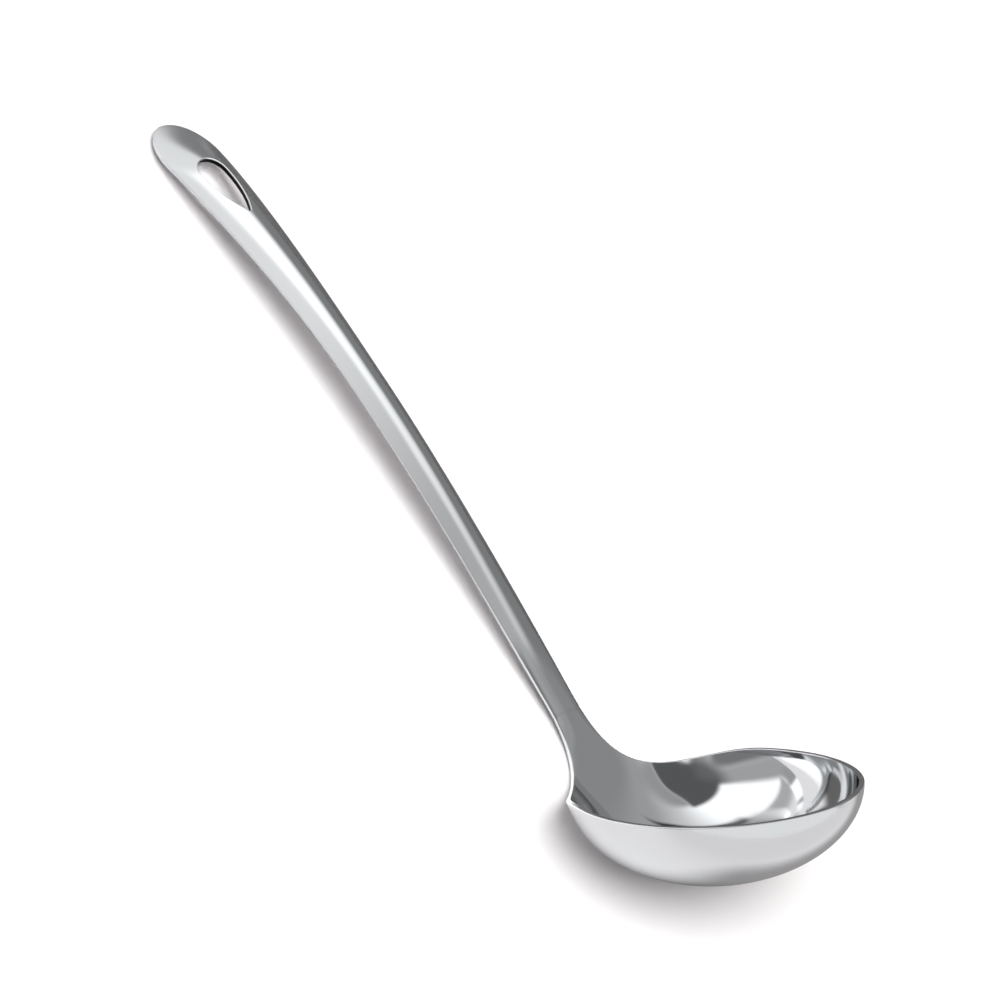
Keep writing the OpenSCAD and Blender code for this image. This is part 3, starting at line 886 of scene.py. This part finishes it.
camera_data.lens = SENSOR * FAR_OFF / (MM_PER_PIXEL * PIXELS / 1000)
camera_data.clip_end = 100
axes = Matrix(np.stack([right, up, to_camera], 1).tolist()).to_4x4()
camera.matrix_world = Matrix.Translation(Vector(target + FAR_OFF * to_camera)) @ axes
print("lens %.0f mm, camera %.0f m away" % (camera_data.lens, FAR_OFF))

# %% [markdown]
# ## The table
#
# The ladle lies on white paper that shows its soft shadow. The steel mirrors the paper too.
# The steel in the photograph looks as if its surroundings were dark behind the ladle, so
# the paper that mirrored rays see is painted: a little grey all over, with painted shade
# behind the ladle, in the nook between bowl and handle, under the bowl and towards the right,
# and a painted glow that makes it a little brighter close in front of the bowl. Both were
# fitted to this one view.

# %% Small helpers for shading by place
TABLE = 3.0


def times(tree, a, b):
    return add_node(tree, "Math", {"operation": "MULTIPLY"}, i0=a, i1=b).outputs[0]


def plus(tree, a, b):
    return add_node(tree, "Math", {"operation": "ADD"}, i0=a, i1=b).outputs[0]


def most(tree, a, b):
    return add_node(tree, "Math", {"operation": "MAXIMUM"}, i0=a, i1=b).outputs[0]


def ramp(tree, value, start, end, low=0.0, high=1.0, kind="SMOOTHSTEP"):
    """low where the value is at start or before it, high at end or after it."""
    return add_node(tree, "MapRange", {"interpolation_type": kind}, Value=value, From_Min=start,
                    From_Max=end, To_Min=low, To_Max=high).outputs[0]


def window(tree, value, low, high, soft_low, soft_high):
    """1 where a value lies between low and high, with soft sides."""
    return times(tree, ramp(tree, value, low - soft_low, low + soft_low),
                 ramp(tree, value, high - soft_high, high + soft_high, 1.0, 0.0))


def area(tree, spot, across, along):
    """1 over a part of the table: two windows, across x and along y, in metres."""
    return times(tree, window(tree, spot[0], *across), window(tree, spot[1], *along))


def here(tree):
    return add_node(tree, "SeparateXYZ", Vector=add_node(tree, "NewGeometry").outputs["Position"]).outputs


def flat_sheet(name, x0, x1, y0, y1, z):
    mesh = bpy.data.meshes.new(name)
    mesh.from_pydata([(x0, y0, z), (x1, y0, z), (x1, y1, z), (x0, y1, z)], [], [(0, 1, 2, 3)])
    sheet_object = bpy.data.objects.new(name, mesh)
    bpy.context.scene.collection.objects.link(sheet_object)
    return sheet_object


# %% The white paper, with painted shade and a painted glow for mirrored rays
# Strengths of the painted shade under the bowl and towards the right, and of the painted glow in front of
# the bowl; only mirrored rays see them.
PAINTED_SHADE_UNDER_BOWL, PAINTED_SHADE_RIGHTWARDS, PAINTED_GLOW_IN_FRONT = 0.78, 0.17, 0.45
table = flat_sheet("table", -TABLE, TABLE, -TABLE, TABLE, 0.0)
mat, tree = new_material("white_paper_table_painted_shade_in_mirror")
spot = here(tree)
# Painted shade for mirrored rays: behind the ladle, in the nook between bowl and handle, under the bowl and
# towards the right.
painted_shade_behind = area(tree, spot, (-0.5, 0.095, 0.02, 0.006), (0.025, 1.5, 0.008, 0.1))
painted_shade_nook = area(tree, spot, (0.03, 0.09, 0.02, 0.006), (0.004, 1.5, 0.004, 0.1))
painted_glow_area = area(tree, spot, (0.03, 0.097, 0.02, 0.003), (-0.3, -0.008, 0.05, 0.006))
mirrored = add_node(tree, "LightPath").outputs["Is Glossy Ray"]
painted_shade_under = times(tree, area(tree, spot, (0.11, 0.20, 0.02, 0.03), (-0.016, 1.5, 0.022, 0.1)), PAINTED_SHADE_UNDER_BOWL)
painted_shade_rightwards = ramp(tree, spot[0], 0.14, 0.26, 0.0, PAINTED_SHADE_RIGHTWARDS)
painted_shade_mask = most(tree, most(tree, most(tree, painted_shade_behind, painted_shade_nook), painted_shade_under), painted_shade_rightwards)
# The paper as mirrored rays see it: a little grey, and painted dark grey where the painted shade lies.
painted_mirrored_paper = add_node(tree, "Mix", {"data_type": "RGBA"}, i0=painted_shade_mask, i6=linear("#F2F2F2"),
                    i7=linear("#6A6A6A")).outputs[2]
paper = add_node(tree, "Mix", {"data_type": "RGBA"}, i0=mirrored, i6=linear("#FCFBFB"),
                 i7=painted_mirrored_paper).outputs[2]
shader = add_node(tree, "BsdfDiffuse", Color=paper)
# A painted glow: for mirrored rays, the paper itself shines in front of the bowl.
glow = add_node(tree, "Emission", Strength=times(tree, times(tree, painted_glow_area, mirrored), PAINTED_GLOW_IN_FRONT))
both = add_node(tree, "AddShader", i0=shader.outputs[0], i1=glow.outputs[0])
add_node(tree, "OutputMaterial", Surface=both.outputs[0])
table.data.materials.append(mat)

# %% [markdown]
# ## The room that the steel mirrors
#
# Polished steel shows little but its surroundings. The photograph's greys were set against
# the direction in which the ladle's surface mirrors the view at each place. They form one
# plain picture: a broad white window on the handle's side, dark gaps beside and over it, and
# a grey corner to the right. The room is a guess that fits this one view, built from soft
# patches. Each has a turn, in degrees from the handle's direction, and a height above the
# table, and later patches lie over earlier ones.

# %% The room
world = bpy.data.worlds.new("studio")
bpy.context.scene.world = world
world.use_nodes = True
room = world.node_tree
room.nodes.clear()
parts = add_node(room, "SeparateXYZ", Vector=add_node(room, "TexCoord").outputs["Generated"]).outputs
turn = add_node(room, "Math", {"operation": "ARCTAN2"}, i0=times(room, parts[1], -1.0),
                i1=times(room, parts[0], -1.0)).outputs[0]
turn = add_node(room, "Math", {"operation": "DEGREES"}, i0=turn).outputs[0]
height = add_node(room, "Math", {"operation": "ARCSINE"}, i0=parts[2]).outputs[0]
height = add_node(room, "Math", {"operation": "DEGREES"}, i0=height).outputs[0]

PATCHES = [
    # brightness, turn from, to, soft, soft, height from, to, soft, soft, slant
    (1.55, -40, 54, 14, 7, -91, 91, 1, 1, 0),
    (0.50, 56, 88, 6, 8, -91, 91, 1, 1, 0),
    (0.25, 88, 112, 8, 8, -91, 91, 1, 1, 0),
    (0.85, -120, -16, 4, 14, -91, 91, 1, 1, 0),
    (0.46, -120, -36, 4, 14, -91, 91, 1, 1, 0),
    (0.34, -120, -62, 4, 10, -91, 91, 1, 1, 0),
    (0.03, -52, 1, 4, 3, -91, 30, 1, 4, 0),
    (0.03, 48, 63, 4, 4, 28, 42, 2, 2, 2.38),
    (0.36, -2, 7, 2, 8, -91, 26, 1, 5, 0),
    (0.12, -115, -58, 4, 4, -91, 14, 1, 6, 0),
    (0.45, 19, 25, 2, 3, -40, 4, 1, 4, 1.14),
    (0.45, 50, 70, 3, 6, -40, 10, 1, 4, 1.14),
    (0.42, -110, -12, 4, 4, 62, 91, 4, 1, 0),
    (0.18, 58, 94, 8, 8, 53, 91, 9, 1, 0),
    (0.13, -12, 66, 3, 10, 59, 91, 3, 1, 0),
    (0.50, -181, -15, 1, 8, 76, 91, 4, 1, 0),
]
BASE_LEVEL, SOFT_LIGHT = 1.05, 0.36
level = BASE_LEVEL
for bright, t0, t1, s0, s1, h0, h1, e0, e1, slant in PATCHES:
    across = add_node(room, "Math", {"operation": "MULTIPLY_ADD"}, i0=height, i1=slant, i2=turn).outputs[0]
    mask = times(room, window(room, across, t0, t1, s0, s1), window(room, height, h0, h1, e0, e1))
    level = add_node(room, "Mix", {"data_type": "FLOAT"}, i0=mask, i2=level, i3=bright).outputs[0]
path = add_node(room, "LightPath").outputs
mirrored = add_node(room, "Background", Color=(1, 1, 1, 1), Strength=level)
plain = add_node(room, "Background", Color=(1.0, 0.92, 0.93, 1), Strength=SOFT_LIGHT)
white = add_node(room, "Background", Color=(1, 1, 1, 1), Strength=1.0)
either = add_node(room, "MixShader", i0=path["Is Glossy Ray"], i1=plain.outputs[0], i2=mirrored.outputs[0])
seen = add_node(room, "MixShader", i0=path["Is Camera Ray"], i1=either.outputs[0], i2=white.outputs[0])
add_node(room, "OutputWorld", Surface=seen.outputs[0])
print("patches in the mirrored room:", len(PATCHES))

# %% [markdown]
# ## The panel over the handle
#
# A lit panel close above the handle gives the handle its long highlight. Its light is
# strongest in a narrow ridge, even on the near side of it, and falls off on the far side.
# The ridge widens towards the tip and dims towards the bowl.

# %% The lit panel
PANEL_Z = 0.055
panel = flat_sheet("lit_panel", -0.45, 0.05, -0.08, 0.4, PANEL_Z)
mat, tree = new_material("lit_panel_white_cloth")
x, y = here(tree)[:2]
near_side = ramp(tree, x, -0.11, 0.01, 1.06, 0.57)
ridge_top = ramp(tree, x, -0.12, 0.05, 1.65, 0.85)
far_line = plus(tree, ramp(tree, x, -0.45, -0.07, 0.0988, 0.0, "LINEAR"),
                ramp(tree, x, -0.22, -0.18, 0.022, 0.0, "LINEAR"))
far_line = plus(tree, far_line, ramp(tree, x, -0.045, 0.055, 0.014, 0.024, "LINEAR"))
near_line = ramp(tree, x, -0.03, 0.05, -0.006, 0.014, "LINEAR")
past_far = add_node(tree, "Math", {"operation": "SUBTRACT"}, i0=y, i1=far_line).outputs[0]
past_near = add_node(tree, "Math", {"operation": "SUBTRACT"}, i0=y, i1=near_line).outputs[0]
lit = ramp(tree, past_far, -0.008, 0.022, 1.0, 0.0)
ridge = times(tree, ramp(tree, past_near, -0.006, 0.006), ramp(tree, x, -0.19, -0.17))
strength = add_node(tree, "Mix", {"data_type": "FLOAT"}, i0=ridge, i2=near_side, i3=ridge_top).outputs[0]
strength = add_node(tree, "Mix", {"data_type": "FLOAT"}, i0=lit, i2=0.27, i3=strength).outputs[0]
glow = add_node(tree, "Emission", Strength=strength)
clear = add_node(tree, "BsdfTransparent")
both = add_node(tree, "MixShader", i0=ramp(tree, x, 0.036, 0.05, 1.0, 0.0), i1=clear.outputs[0],
                i2=glow.outputs[0])
add_node(tree, "OutputMaterial", Surface=both.outputs[0])
panel.data.materials.append(mat)
panel.visible_camera = panel.visible_diffuse = panel.visible_shadow = False

# %% [markdown]
# ## The lamp
#
# The shadow hugs the left and lower edges, so the lamp is put near the camera, a little to
# its upper right. It is a soft lamp and isn't mirrored in the steel.

# %% The lamp that throws the shadow
SIDEWAYS, LAMP_STRENGTH, LAMP_WIDTH = 0.5, 3.0, math.radians(42)
lamp_data = bpy.data.lights.new("soft_lamp", "SUN")
lamp_data.energy = LAMP_STRENGTH
lamp_data.angle = LAMP_WIDTH
lamp = bpy.data.objects.new("soft_lamp", lamp_data)
bpy.context.scene.collection.objects.link(lamp)
lamp_way = Vector(to_camera + SIDEWAYS * (0.82 * right + 0.57 * up)).normalized()
lamp.rotation_euler = lamp_way.to_track_quat("Z", "Y").to_euler()
lamp.visible_glossy = False
bpy.context.scene.view_settings.view_transform = "Standard"
print("lamp direction", [round(v, 2) for v in lamp_way])
